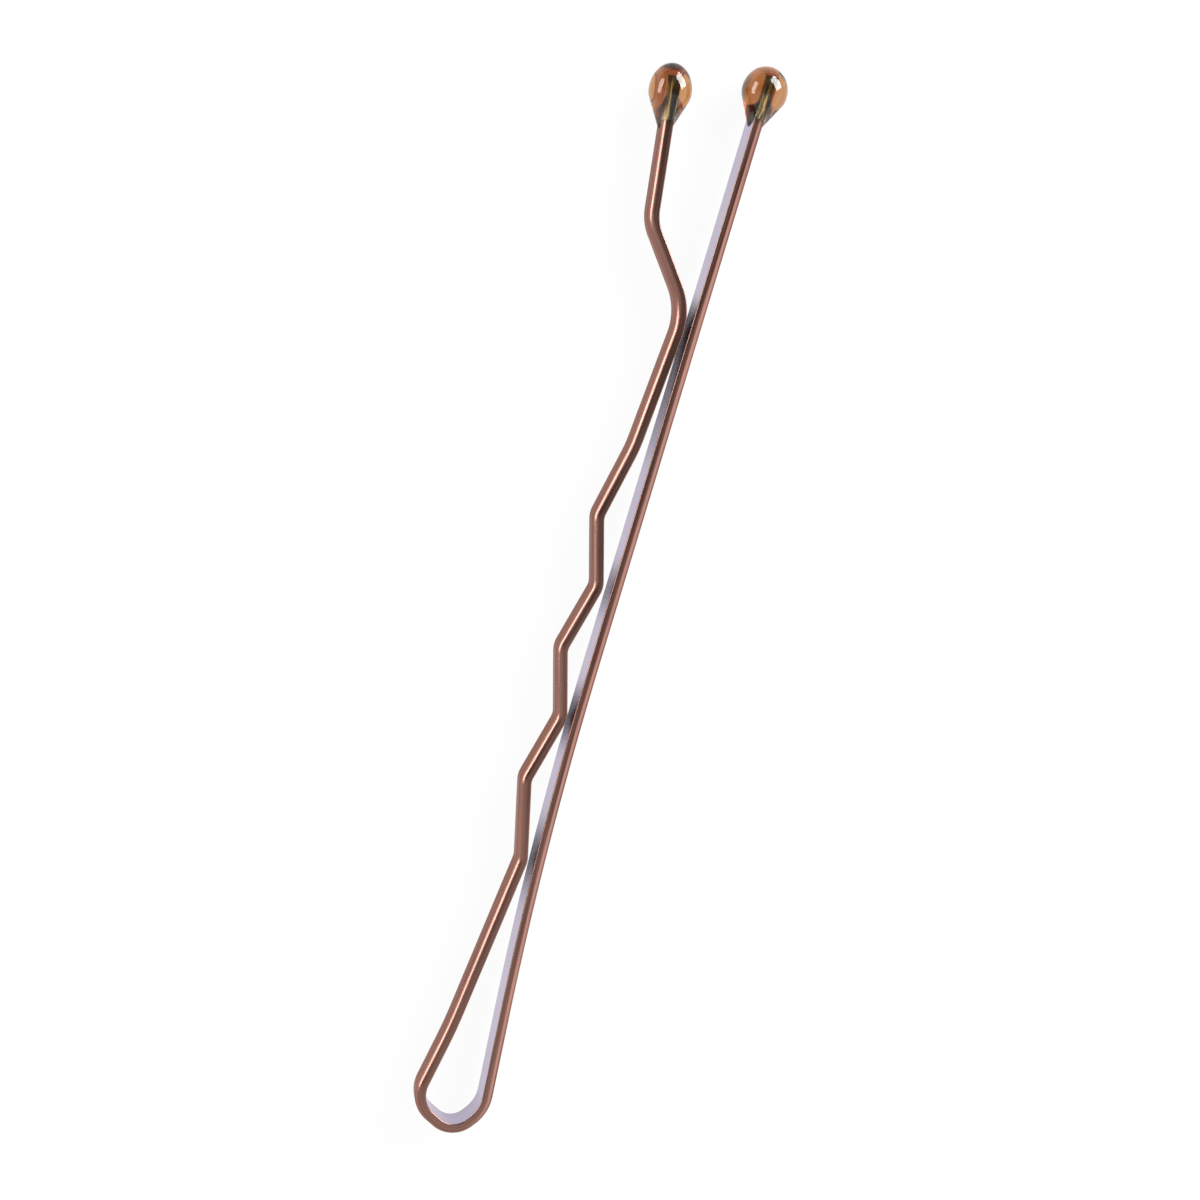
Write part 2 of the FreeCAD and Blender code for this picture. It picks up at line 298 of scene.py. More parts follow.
@dataclass(frozen=True)
class PinShape:
    """Driving dimensions of the bent strip and its drops, and the places that follow from them."""

    strip_thickness: float = 0.62
    leg_length: float = 59.05
    knee_height: float = 17
    knee_radius: float = 230
    knee_turn_step: float = 0.25
    leg_lean: float = 5
    bow_height: float = 3.5
    bow_side_height: float = 1.75
    bow_side_radius: float = 2.1
    bow_point_radius: float = 1.35
    bow_back_radius: float = 1.65
    bow_width: float = 3.9
    bow_back_height: float = 1.3
    bow_run_step: float = 0.1
    heel_height: float = 5.8
    heel_offset: float = 0.22
    heel_radius: float = 25
    crimp_count: int = 3
    crimp_start: float = 15.85
    first_rise: float = 4.35
    crimp_pitch: float = 7.4
    crimp_return: float = 3.73
    crimp_depth: float = 1.085
    crimp_gap: float = 0.08
    crimp_drift: float = 0.175
    crimp_radius: float = 1.1
    last_return: float = 4.05
    press_rise: float = 7.75
    press_lean: float = 3.9
    press_radius: float = 8
    contact_gap: float = 0.27
    contact_radius: float = 3.6
    flare_rise: float = 3.95
    flare_lean: float = 38.2
    flare_radius: float = 2.6
    tip_run: float = 6.9
    tip_lean: float = 8
    straight_bead_diameter: float = 2.45
    straight_bead_rise: float = 0.125
    crimped_bead_diameter: float = 2.3
    crimped_bead_rise: float = 0.35
    bead_reach: float = 0.75

    @property
    def straight_bead(self) -> Place:
        """Centre of the drop on the straight leg."""
        return 0.0, self.leg_length

    @property
    def straight_tip(self) -> Place:
        """Strip's end in the drop on the straight leg."""
        return step(self.straight_bead, self.bead_reach, 0)

    def leaning(self, height: float) -> Place:
        """Return the place at some height on the straight leg's line below the knee."""
        return (self.knee_height - height) * math.tan(math.radians(self.leg_lean)), height

    @property
    def bow_start(self) -> Place:
        """Place where the straight leg meets the bow."""
        return self.leaning(self.bow_height)

    @property
    def bow_side(self) -> Place:
        """Bow's first corner, beside the straight leg."""
        return self.leaning(self.bow_side_height)

    @property
    def bow_back(self) -> Place:
        """Bow's last corner, beside the crimped leg."""
        return self.bow_side[0] - self.bow_width, self.bow_back_height

    @property
    def crimps(self) -> list[Place]:
        """Corners of the crimps, from the bow's end to the contact's.

        Returns:
            An inner and then an outer corner for each crimp.
        """
        places = []
        for number in range(self.crimp_count):
            inner = -(self.strip_thickness + self.crimp_gap + number * self.crimp_drift)
            top = self.crimp_start + self.first_rise + number * self.crimp_pitch
            foot = top - self.crimp_pitch + self.crimp_return if number else self.crimp_start
            places += [(inner, foot), (inner - self.crimp_depth, top)]
        return places

    @property
    def heel(self) -> Place:
        """Slight bend of the crimped leg above the bow."""
        unbent = level(self.heel_height, self.bow_back, self.crimps[0])
        return unbent[0] + self.heel_offset, unbent[1]

    @property
    def bow_end(self) -> Place:
        """Place where the bow meets the crimped leg."""
        return level(self.bow_height, self.bow_back, self.heel)

    @property
    def contact(self) -> Place:
        """Sharp corner of the contact, whose crest stands off from the straight leg by the gap.

        Returns:
            The corner, set in from the crest by what its bend rounds off.
        """
        lean = math.radians(self.press_lean)
        half_turn = math.radians(self.press_lean + self.flare_lean) / 2
        recess = self.contact_radius * (math.tan(half_turn) * math.sin(lean) - 1 + math.cos(lean))
        height = self.crimps[-1][1] + self.last_return + self.press_rise
        return recess - self.strip_thickness - self.contact_gap, height

    @property
    def flare(self) -> Place:
        """Corner between the flare and the tip."""
        lean = math.radians(self.flare_lean)
        return step(self.contact, self.flare_rise / math.cos(lean), self.flare_lean)

    @property
    def crimped_bead(self) -> Place:
        """Centre of the drop on the crimped leg."""
        return step(self.flare, self.tip_run, self.tip_lean)

    def straight_line(self) -> BentLine:
        """Return the straight leg's line, from its tip to the bow."""
        places = [self.straight_tip, (0.0, self.knee_height), self.bow_start]
        return BentLine(places, [self.knee_radius], turn_step=self.knee_turn_step)

    def bow_line(self) -> BentLine:
        """Draw the bow.

        Returns:
            Its line, from the straight leg to the crimped leg.
        """
        places = [self.bow_start, self.bow_side, (0.0, 0.0), self.bow_back, self.bow_end]
        radii = [self.bow_side_radius, self.bow_point_radius, self.bow_back_radius]
        return BentLine(places, radii, run_step=self.bow_run_step)

    def crimped_line(self) -> BentLine:
        """Draw the crimped leg.

        Returns:
            Its line, from the bow to its tip.
        """
        lean = math.radians(self.press_lean)
        press = step(self.contact, -self.press_rise / math.cos(lean), -self.press_lean)
        tip = step(self.crimped_bead, self.bead_reach, self.tip_lean)
        places = [self.bow_end, self.heel, *self.crimps, press, self.contact, self.flare, tip]
        radii = [self.heel_radius] + [self.crimp_radius] * len(self.crimps)
        return BentLine(places, radii + [self.press_radius, self.contact_radius, self.flare_radius])


@dataclass(frozen=True)
class Placing:
    """Where the drawing's origin lies in the part's frame, in metres."""

    x: float
    y: float
    z: float

    @classmethod
    def from_frame(cls, shape: PinShape) -> "Placing":
        """Read the drawing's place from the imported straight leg, which runs on the line x = 0.

        Args:
            shape: the strip's dimensions.

        Returns:
            The place of the bow's sharp point, at the middle of the strip's width.
        """
        low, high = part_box("straight_leg")
        tip = shape.straight_tip
        return cls(low.x + shape.strip_thickness / 2 * MM, high.y - tip[1] * MM, (low.z + high.z) / 2)

    def lift(self, flat: Array, height: Array) -> Array:
        """Return drawing points, with their heights over the middle plane, in the part's frame."""
        origin = np.array([self.x, self.y, self.z])
        return origin + MM * np.concatenate([flat, height[..., None]], axis=-1)


# Finishes


@dataclass(frozen=True)
class DrawnGrain:
    """Fine lines that the drawing die left along the strip, with slow changes along its length.

    Attributes:
        lines: lines in each millimetre round the strip. Real ones are finer, too fine to show, so
            these are drawn as coarse as the picture needs.
        stretch: how much longer than wide a line is.
        drift: slow changes in each millimetre of length.
        drift_round: the same round the strip, as a share of that.
    """

    lines: float = 8.0
    stretch: float = 60.0
    drift: float = 0.11
    drift_round: float = 0.2

    def streaks(self, tree: Tree) -> tuple[Socket, Socket]:
        """Add the grain to a material's tree.

        Args:
            tree: the material's node tree.

        Returns:
            The fine lines and the slow changes, both from zero to one.
        """
        unbent = add_node(tree, "ShaderNodeAttribute", attribute_name="unbent").outputs["Vector"]
        drawn = add_node(tree, "ShaderNodeMapping", {"Vector": unbent, "Scale": (1 / self.stretch, 1, 1)})
        fine = add_node(
            tree,
            "ShaderNodeTexNoise",
            {"Vector": drawn.outputs["Vector"], "Scale": self.lines, "Detail": 3.0, "Roughness": 0.6},
        )
        scale = (1, self.drift_round, self.drift_round)
        even = add_node(tree, "ShaderNodeMapping", {"Vector": unbent, "Scale": scale})
        slow = add_node(
            tree, "ShaderNodeTexNoise", {"Vector": even.outputs["Vector"], "Scale": self.drift, "Detail": 2.0}
        )
        return fine.outputs["Fac"], slow.outputs["Fac"]


@dataclass(frozen=True)
class WettedEndPaintedShading:
    """The strip's ends inside the drops, where the resin takes away the lacquer's gloss, and painted light
    and shade stand in for what shows through the amber.

    The broad faces are painted pale, a painted light, and the narrow edges dark olive, a painted shade that
    stands as the drop's dark core.

    Attributes:
        face: colour of the broad faces, a painted light.
        edge: colour of the narrow edges, a painted shade.
        length: wetted length from the strip's tip.
        fade: length in which the wetting dies away.
        edge_start: distance from the middle of the width at which the edge's colour starts.
        edge_full: distance at which it is full.
    """

    # The pale face colour is a painted light and the dark olive edge colour a painted shade.
    face: str = "#e2cab8"
    edge: str = "#585037"
    length: float = 2.1
    fade: float = 0.5
    edge_start: float = 0.5
    edge_full: float = 0.75

    def share(self, tree: Tree, inside: float, outside: float) -> Socket:
        """Tell the wetted ends of the strip from the rest of it.

        Args:
            tree: the material's node tree.
            inside: value where resin wets the strip.
            outside: value along the rest of it.

        Returns:
            The value's output.
        """
        from_tip = add_node(tree, "ShaderNodeAttribute", attribute_name="from_tip").outputs["Fac"]
        limits = {"Value": from_tip, "From Min": self.length, "From Max": self.length + self.fade}
        levels = {"To Min": inside, "To Max": outside}
        return add_node(tree, "ShaderNodeMapRange", limits | levels).outputs["Result"]

    def over(self, tree: Tree, dry: Socket) -> Socket:
        """Lay the wetted colours, painted light and shade, over a finish's own colour.

        Args:
            tree: the material's node tree.
            dry: the finish's own colour.

        Returns:
            The colour's output.
        """
        unbent = add_node(tree, "ShaderNodeAttribute", attribute_name="unbent").outputs["Vector"]
        upward = add_node(tree, "ShaderNodeSeparateXYZ", {"Vector": unbent}).outputs["Z"]
        off_middle = add_node(tree, "ShaderNodeMath", {0: upward}, operation="ABSOLUTE").outputs["Value"]
        limits = {"Value": off_middle, "From Min": self.edge_start, "From Max": self.edge_full}
        edge = add_node(tree, "ShaderNodeMapRange", limits).outputs["Result"]
        colours = {MIX_SHARE: edge, MIX_FIRST: linear(self.face), MIX_SECOND: linear(self.edge)}
        # Painted light on the faces and painted shade on the edges of the wetted ends.
        wet_painted_shading = add_node(tree, "ShaderNodeMix", colours, data_type="RGBA").outputs[MIX_RESULT]
        colours = {MIX_SHARE: self.share(tree, 1.0, 0.0), MIX_FIRST: dry, MIX_SECOND: wet_painted_shading}
        return add_node(tree, "ShaderNodeMix", colours, data_type="RGBA").outputs[MIX_RESULT]


@dataclass(frozen=True)
class StripFinish:
    """A metallic finish of the strip, streaked by the drawn steel's lines and wetted at its ends, with
    painted light and shade there.

    Attributes:
        name: what the finish is.
        plain: the finish's colour.
        deep: colour that it slowly changes to along the strip.
        streak: colour of the fine lines.
        streak_share: how far the lines take that colour.
        grazing: tint of what it mirrors when it is seen along its surface.
        smooth: roughness at its glossiest.
        dull: roughness at its dullest.
        line_depth: depth of the fine lines.
        clear_weight: share of clear gloss over it.
        clear_roughness: roughness of that gloss.
    """

    name: str
    plain: str
    deep: str
    streak: str
    streak_share: float
    grazing: str
    smooth: float
    dull: float
    line_depth: float = 0.004
    clear_weight: float = 0.0
    clear_roughness: float = 0.16
    grain: DrawnGrain = DrawnGrain()
    # Wetted ends, which carry painted light and shade.
    ends: WettedEndPaintedShading = WettedEndPaintedShading()

    def material(self) -> bpy.types.Material:
        """Make the finish's material.

        Returns:
            The material.
        """
        material, tree = new_material(self.name)
        fine, slow = self.grain.streaks(tree)
        patches = add_node(tree, "ShaderNodeMapRange", NOISE_RANGE | {"Value": slow})
        colours = {
            MIX_SHARE: patches.outputs["Result"],
            MIX_FIRST: linear(self.deep),
            MIX_SECOND: linear(self.plain),
        }
        ground = add_node(tree, "ShaderNodeMix", colours, data_type="RGBA")
        lines = add_node(
            tree, "ShaderNodeMapRange", NOISE_RANGE | {"Value": fine, "To Max": self.streak_share}
        )
        colours = {
            MIX_SHARE: lines.outputs["Result"],
            MIX_FIRST: ground.outputs[MIX_RESULT],
            MIX_SECOND: linear(self.streak),
        }
        streaked = add_node(tree, "ShaderNodeMix", colours, data_type="RGBA")
        gloss = add_node(
            tree,
            "ShaderNodeMapRange",
            NOISE_RANGE | {"Value": fine, "To Min": self.smooth, "To Max": self.dull},
        )
        relief = add_node(
            tree, "ShaderNodeBump", {"Height": fine, "Distance": self.line_depth * MM, "Strength": 1.0}
        )
        # The base colour carries the wetted ends' painted light and shade.
        inputs = {
            "Base Color": self.ends.over(tree, streaked.outputs[MIX_RESULT]),
            "Metallic": 1.0,
            "Roughness": gloss.outputs["Result"],
            "Specular Tint": linear(self.grazing),
            "Normal": relief.outputs["Normal"],
        }
        if self.clear_weight:
            inputs["Coat Weight"] = self.ends.share(tree, 0.0, self.clear_weight)
            inputs["Coat Roughness"] = self.clear_roughness
        shader = add_node(tree, "ShaderNodeBsdfPrincipled", inputs)
        add_node(tree, "ShaderNodeOutputMaterial", {"Surface": shader.outputs["BSDF"]})
        return material


@dataclass(frozen=True)
class Lacquer(StripFinish):
    """Brown metallic lacquer, baked on the strip's outer side and edges.

    The pigment lies under a thin clear gloss, so lamps show as soft lines along the rounded side,
    which turns copper when it is seen along its length. The drawn steel's lines show as streaks.
    """

    name: str = "baked brown lacquer on spring steel"
    plain: str = "#94665a"
    deep: str = "#7c5349"
    streak: str = "#b48d80"
    streak_share: float = 0.5
    grazing: str = "#b88b7b"
    smooth: float = 0.2
    dull: float = 0.34
    clear_weight: float = 0.3


@dataclass(frozen=True)
class PaleInnerFacePaintedReflection(StripFinish):
    """Mirroring spring steel on the strip's flat inner side, tinted pale lilac as a painted reflection of the
    white floor beside it.

    It mirrors whatever lies beside it, and its pale tint paints in the floor's pale lilac reflection, broken
    by the drawn steel's fine lines.
    """

    name: str = "pale steel with painted reflection"
    # These pale lilac colours are a painted reflection, laid on a metal that also mirrors.
    plain: str = "#c2bbc9"
    deep: str = "#a39cb2"
    streak: str = "#c2bbc9"
    streak_share: float = 0.7
    grazing: str = "#f6f2f9"
    smooth: float = 0.1
    dull: float = 0.24


@dataclass(frozen=True)
class Resin:
    """Clear amber resin, dripped on and set as a smooth drop.

    It is pale where it is thin and honey brown where light crosses its whole width, and the lamps
    stand in it as sharp windows. Faint swirls are left from mixing, and faint ripples from setting.
    """

    pale: str = "#ffffff"
    swirl: str = "#fbeeda"
    amber: str = "#e6b83c"
    density: float = 1250.0
    ior: float = 1.56
    roughness: float = 0.01
    swirl_size: float = 0.9
    ripple_depth: float = 0.01

    def material(self) -> bpy.types.Material:
        """Make the resin's material.

        Returns:
            The material.
        """
        material, tree = new_material("dipped amber resin")
        place = add_node(tree, "ShaderNodeTexCoord").outputs["Object"]
        cloud = add_node(
            tree,
            "ShaderNodeTexNoise",
            {"Vector": place, "Scale": 1 / (self.swirl_size * MM), "Detail": 2.0, "Distortion": 1.2},
        ).outputs["Fac"]
        swirls = add_node(tree, "ShaderNodeMapRange", NOISE_RANGE | {"Value": cloud})
        colours = {
            MIX_SHARE: swirls.outputs["Result"],
            MIX_FIRST: linear(self.pale),
            MIX_SECOND: linear(self.swirl),
        }
        clouded = add_node(tree, "ShaderNodeMix", colours, data_type="RGBA")
        ripples = add_node(
            tree, "ShaderNodeBump", {"Height": cloud, "Distance": self.ripple_depth * MM, "Strength": 1.0}
        )
        shader = add_node(
            tree,
            "ShaderNodeBsdfPrincipled",
            {
                "Base Color": clouded.outputs[MIX_RESULT],
                "Roughness": self.roughness,
                "IOR": self.ior,
                "Transmission Weight": 1.0,
                "Normal": ripples.outputs["Normal"],
            },
        )
        depth = add_node(
            tree, "ShaderNodeVolumeAbsorption", {"Color": linear(self.amber), "Density": self.density}
        )
        add_node(
            tree,
            "ShaderNodeOutputMaterial",
            {"Surface": shader.outputs["BSDF"], "Volume": depth.outputs["Volume"]},
        )
        return material


# Pieces of the pin


@dataclass(frozen=True)
class StripSection:
    """Section of the strip, flat inside and rounded outside: thickness across the legs, width along Z."""

    thickness: float
    width: float = 1.7
    outer_round: float = 0.42
    inner_round: float = 0.06
    corner_points: int = 17

    def outline(self) -> tuple[Array, Array]:
        """Draw the section, anticlockwise from the outer face.

        Each corner is a quarter circle about a centre set in from both faces by its rounding.

        Returns:
            The section's points and its outward normals.
        """
        angles = np.linspace(0, math.pi / 2, self.corner_points) + np.arange(4)[:, None] * math.pi / 2
        normals = np.stack([np.cos(angles), np.sin(angles)], axis=-1)
        signs = np.array([[1, 1], [-1, 1], [-1, -1], [1, -1]])
        rounds = np.array([self.outer_round, self.inner_round, self.inner_round, self.outer_round])[:, None]
        centres = signs * (np.array([self.thickness, self.width]) / 2 - rounds)
        points = centres[:, None] + rounds[:, None] * normals
        return points.reshape(-1, 2), normals.reshape(-1, 2)


@dataclass
class Strip:
    """The bent strip, as three stretches that meet face to face.

    Attributes:
        shape: the strip's dimensions.
        section: its section.
        placing: where the drawing's origin lies.
        lacquer: finish of the outer side, the edges and the crimped leg's inner side.
        pale_inside_painted_reflection: finish of the inner side of the straight leg and the bow.
        straight_roll: how far the strip rolled over beside the straight leg as the bow was bent,
            in degrees.
        crimped_roll: how far it rolled over beside the crimped leg.
        roll_fade: length of the crimped leg in which the roll dies away.
        lap: share of the inner corners that the inner side's finish takes.
    """

    shape: PinShape
    section: StripSection
    placing: Placing
    lacquer: bpy.types.Material
    # Finish of the inner side, pale lilac as a painted reflection.
    pale_inside_painted_reflection: bpy.types.Material
    straight_roll: float = 2.4
    crimped_roll: float = 1.5
    roll_fade: float = 12.0
    lap: float = 0.3

    def stretch_lengths(self) -> list[float]:
        """Return the lengths of the straight leg, the bow and the crimped leg."""
        lines = (self.shape.straight_line(), self.shape.bow_line(), self.shape.crimped_line())
        return [line.track().lengths[-1] for line in lines]

    def rolls(self, lengths: Array) -> Array:
        """Find how far the strip is rolled over.

        Args:
            lengths: lengths from the straight leg's tip.

        Returns:
            The roll at each, in radians.
        """
        straight, bow, _ = self.stretch_lengths()
        marks = [straight, straight + bow, straight + bow + self.roll_fade]
        return np.radians(np.interp(lengths, marks, [self.straight_roll, self.crimped_roll, 0.0]))

    def stretch(
        self, name: str, line: BentLine, travelled: float, inside: bpy.types.Material
    ) -> bpy.types.Object:
        """Carry the section along a line and close both ends.

        A point of the section, turned by the strip's roll, is set across the line by its first
        part, towards the outer side, and up by its second part.

        Args:
            name: the piece's name.
            line: the stretch's centre line.
            travelled: length of strip before this stretch, so that patterns run on.
            inside: finish of the inner side, which laps round the inner corners.

        Returns:
            The piece.
        """
        track = line.track()
        lengths = track.lengths + travelled
        outline, facing = self.section.outline()
        roll = self.rolls(lengths)
        turn = np.stack([np.cos(roll), np.sin(roll), -np.sin(roll), np.cos(roll)], axis=1).reshape(-1, 2, 2)
        placed = np.einsum("rij,cj->rci", turn, outline)
        faced = np.einsum("rij,cj->rci", turn, facing)
        across = np.stack([-np.sin(track.headings), np.cos(track.headings)], axis=1)[:, None]
        flat = track.points[:, None] + across * placed[..., :1]
        points = self.placing.lift(flat, placed[..., 1]).reshape(-1, 3)
        normals = np.concatenate([across * faced[..., :1], faced[..., 1:]], axis=-1).reshape(-1, 3)

        rings, columns = flat.shape[:2]
        sides = tube_faces(rings, columns)
        first = np.arange(columns)[None, ::-1]
        last = (rings - 1) * columns + np.arange(columns)[None]
        ahead = np.stack([np.cos(track.headings), np.sin(track.headings), np.zeros(rings)], axis=1)
        ends = np.concatenate([np.tile(-ahead[0], (columns, 1)), np.tile(ahead[-1], (columns, 1))])
        mesh = surface(name, points, [sides, first, last], np.concatenate([normals[sides.ravel()], ends]))
        self.mark(mesh, lengths, outline)
        self.dress(mesh, inside, len(sides), columns)
        piece = show(name, mesh)
        log.info("%s: %d points", name, len(points))
        return piece

    def mark(self, mesh: bpy.types.Mesh, lengths: Array, outline: Array) -> None:
        """Mark each point with its place on the unbent strip, which the finishes follow.

        One attribute holds the length from the straight leg's tip and the place in the section. The
        other holds the length from the nearer tip.

        Args:
            mesh: the stretch's mesh.
            lengths: length from the straight leg's tip to each ring.
            outline: the section's points.
        """
        unbent = np.empty((len(lengths), len(outline), 3), np.float32)
        unbent[..., 0] = lengths[:, None]
        unbent[..., 1:] = outline
        attribute = mesh.attributes.new("unbent", "FLOAT_VECTOR", "POINT")
        attribute.data.foreach_set("vector", unbent.ravel())
        from_tip = np.minimum(lengths, sum(self.stretch_lengths()) - lengths)
        attribute = mesh.attributes.new("from_tip", "FLOAT", "POINT")
        attribute.data.foreach_set("value", np.repeat(from_tip, len(outline)))

    def dress(self, mesh: bpy.types.Mesh, inside: bpy.types.Material, sides: int, columns: int) -> None:
        """Lacquer a stretch and give its inner side its own finish.

        The inner side is halfway round each ring, and its finish laps round both corners beside it.

        Args:
            mesh: the stretch's mesh, with its side faces first.
            inside: finish of the inner side.
            sides: number of side faces.
            columns: number of side faces in each ring.
        """
        mesh.materials.append(self.lacquer)
        mesh.materials.append(inside)
        inner = np.zeros(len(mesh.polygons), np.int32)
        from_middle = np.abs(np.arange(sides) % columns - (columns // 2 - 1))
        inner[:sides] = from_middle <= self.lap * self.section.corner_points
        mesh.polygons.foreach_set("material_index", inner)

    def build(self) -> None:
        """Build the three stretches and hang the two legs on the part's bodies.

        Each stretch takes up its length and its roll where the one before it ends.
        """
        straight_length, bow_length, _ = self.stretch_lengths()

        # The straight leg and the bow take the pale inner finish, a painted reflection, on their inner side.
        leg = self.stretch("straight_leg_strip", self.shape.straight_line(), 0.0, self.pale_inside_painted_reflection)
        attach(leg, Body.STRAIGHT.value)
        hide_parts("straight_leg")

        bend = self.stretch("spring_bow_strip", self.shape.bow_line(), straight_length, self.pale_inside_painted_reflection)
        self.bend_between_bodies(bend)
        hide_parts("spring_bow")

        travelled = straight_length + bow_length
        wavy = self.stretch("crimped_leg_strip", self.shape.crimped_line(), travelled, self.lacquer)
        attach(wavy, Body.CRIMPED.value)
        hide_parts("crimped_leg")

    def bend_between_bodies(self, bend: bpy.types.Object) -> None:
        """Bake the bow's place into its mesh; where it meets each leg's inner face is worked out but not
        used.

        Args:
            bend: the bow's piece.
        """
        inset = self.section.thickness
        places = np.array([self.shape.bow_start, self.shape.bow_end]) + [[-inset, 0], [inset, 0]]
        start, end = self.placing.lift(places, np.zeros(2))
        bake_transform(bend)


@dataclass
class Drop:
    """A drop of resin round the end of the strip.

    Attributes:
        name: the piece's name.
        node: the solid that it stands for.
        body: the body that it rides on.
        centre: its widest place, on the strip's centre line.
        lean: lean of the strip's end to -X, in degrees.
        diameter: the ball's diameter.
        rise: how much higher the drop's top stands than a ball's.
        section: section of the strip inside it.
        placing: where the drawing's origin lies.
        finish: the resin.
        side_neck: length of the neck on the strip's flat faces.
        edge_neck: length of the neck on the strip's edges.
        skin: thickness of the resin at the end of its neck.
        columns: points round the drop.
        neck_rows: rings along the neck.
        ball_rows: rings from there to the top.
    """

    name: str
    node: str
    body: Body
    centre: Place
    lean: float
    diameter: float
    rise: float
    section: StripSection
    placing: Placing
    finish: bpy.types.Material
    side_neck: float = 2.0
    edge_neck: float = 1.5
    skin: float = 0.03
    columns: int = 96
    neck_rows: int = 14
    ball_rows: int = 40

    def neck_radius(self, angle: Array) -> Array:
        """Find how far the strip's outline, with a skin of resin, reaches.

        The reach is that of an oval of the strip's thickness and width to the fourth power, which
        is a rectangle with well rounded corners.

        Args:
            angle: angles round the strip, from the outer side.

        Returns:
            The reach at each.
        """
        across = np.abs(np.cos(angle)) / (self.section.thickness / 2 + self.skin)
        upward = np.abs(np.sin(angle)) / (self.section.width / 2 + self.skin)
        return (across**4 + upward**4) ** -0.25

    @property
    def crown(self) -> float:
        """Height of the drop's top over its widest place."""
        return self.diameter / 2 + self.rise

    def profile(self, angle: Array) -> tuple[Array, Array]:
        """Draw the drop's outline in the plane of each angle round the strip.

        It is a straight taper from the neck that touches the ball, then the ball's circle up to
        its widest place, then an oval crown.

        Args:
            angle: angles round the strip, from the outer side.

        Returns:
            Distances from the strip's line and along it, a row for each ring below the top.
        """
        radius = self.diameter / 2
        foot = self.neck_radius(angle)
        neck = self.side_neck + (self.edge_neck - self.side_neck) * np.sin(angle) ** 2
        touch = np.arctan2(-neck, foot) + np.arccos(radius / np.hypot(neck, foot))
        share = np.linspace(0, 1, self.neck_rows, endpoint=False)[:, None]
        taper_out = foot + (radius * np.cos(touch) - foot) * share
        taper_up = -neck + (radius * np.sin(touch) + neck) * share
        swing = touch + (math.pi / 2 - touch) * np.linspace(0, 1, self.ball_rows, endpoint=False)[:, None]
        ball_out = radius * np.cos(swing)
        ball_up = np.sin(swing) * np.where(swing > 0, self.crown, radius)
        return np.concatenate([taper_out, ball_out]), np.concatenate([taper_up, ball_up])

    def build(self) -> None:
        """Build the drop and hang it on its body.

        The outline of each angle is set out from the strip's line, and the rings close at the top.
        """
        angle = np.arange(self.columns) / self.columns * 2 * math.pi
        out, along = self.profile(angle)
        lean = math.radians(self.lean)
        ahead = np.array([-math.sin(lean), math.cos(lean)])
        across = np.array([-math.cos(lean), -math.sin(lean)])
        flat = np.array(self.centre) + along[..., None] * ahead + (out * np.cos(angle))[..., None] * across
        top = np.array(self.centre) + self.crown * ahead
        points = self.placing.lift(flat, out * np.sin(angle)).reshape(-1, 3)
        points = np.concatenate([points, self.placing.lift(top[None], np.zeros(1))])

        rings = len(out)
        sides = tube_faces(rings, self.columns)
        base = np.arange(self.columns)[None, ::-1]
        last = (rings - 1) * self.columns + np.arange(self.columns)
        peak = np.full(self.columns, len(points) - 1)
        cone = np.stack([last, np.roll(last, -1), peak], axis=1)
        normals = self.normals(points, rings)
        ends = np.tile([*-ahead, 0], (self.columns, 1))
        corner_normals = np.concatenate([normals[sides.ravel()], ends, normals[cone.ravel()]])
        mesh = surface(self.name, points, [sides, base, cone], corner_normals)
        mesh.materials.append(self.finish)
        piece = show(self.name, mesh)
        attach(piece, self.body.value)
        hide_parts(self.node)
        log.info("%s: %d points", self.name, len(points))

    def normals(self, points: Array, rings: int) -> Array:
        """Return the drop's normals, square to its steps round and along the surface.

        Args:
            points: the drop's points, ring after ring, with the top last.
            rings: number of rings.

        Returns:
            One normal for each point.
        """
        grid = points[:-1].reshape(rings, self.columns, 3)
        round_step = np.roll(grid, -1, axis=1) - np.roll(grid, 1, axis=1)
        closed = np.concatenate([grid, np.broadcast_to(points[-1], (1, self.columns, 3))])
        up_step = np.gradient(closed, axis=0)[:-1]
        square = np.cross(round_step, up_step).reshape(-1, 3)
        square = np.concatenate([square, [points[-1] - points[:-1].mean(axis=0)]])
        return square / np.linalg.norm(square, axis=1, keepdims=True)


# Studio


@dataclass(frozen=True)
class SoftBox:
    """A rectangular lamp aimed at the pin.

    Attributes:
        name: the lamp's name.
        bearing: degrees from +X towards +Y, seen from above.
        elevation: degrees over the floor.
        width: size along the floor.
        height: size across that.
        brightness: how bright its face is, where one is white.
        distance: millimetres from the pin's middle.
    """

    name: str
    bearing: float
    elevation: float
    width: float
    height: float
    brightness: float
    distance: float = 320

    def build(self) -> None:
        """Add the lamp to the scene.

        Its power is its brightness times its area times pi, which is what an even face sends out.
        """
        lamp = bpy.data.lights.new(self.name, "AREA")
        lamp.shape = "RECTANGLE"
        lamp.size = self.width * MM
        lamp.size_y = self.height * MM
        lamp.energy = self.brightness * math.pi * lamp.size * lamp.size_y
        bearing, elevation = math.radians(self.bearing), math.radians(self.elevation)
        ground = math.cos(elevation)
        towards = Vector((ground * math.cos(bearing), ground * math.sin(bearing), math.sin(elevation)))
        box = bpy.data.objects.new(self.name, lamp)
        box.location = towards * self.distance * MM
        box.rotation_euler = towards.to_track_quat("Z", "Y").to_euler()
        box.visible_camera = False
        bpy.context.scene.collection.objects.link(box)


class Wall(NamedTuple):
    """A pale side of the studio, which stands out from its dim ceiling.

    Attributes:
        axis: the axis along which a direction points at it.
        start: part of the direction along that axis at which it starts to show.
        full: part at which it shows in full.
        brightness: how bright it is, where one is white.
    """

    axis: str
    start: float
    full: float
    brightness: float


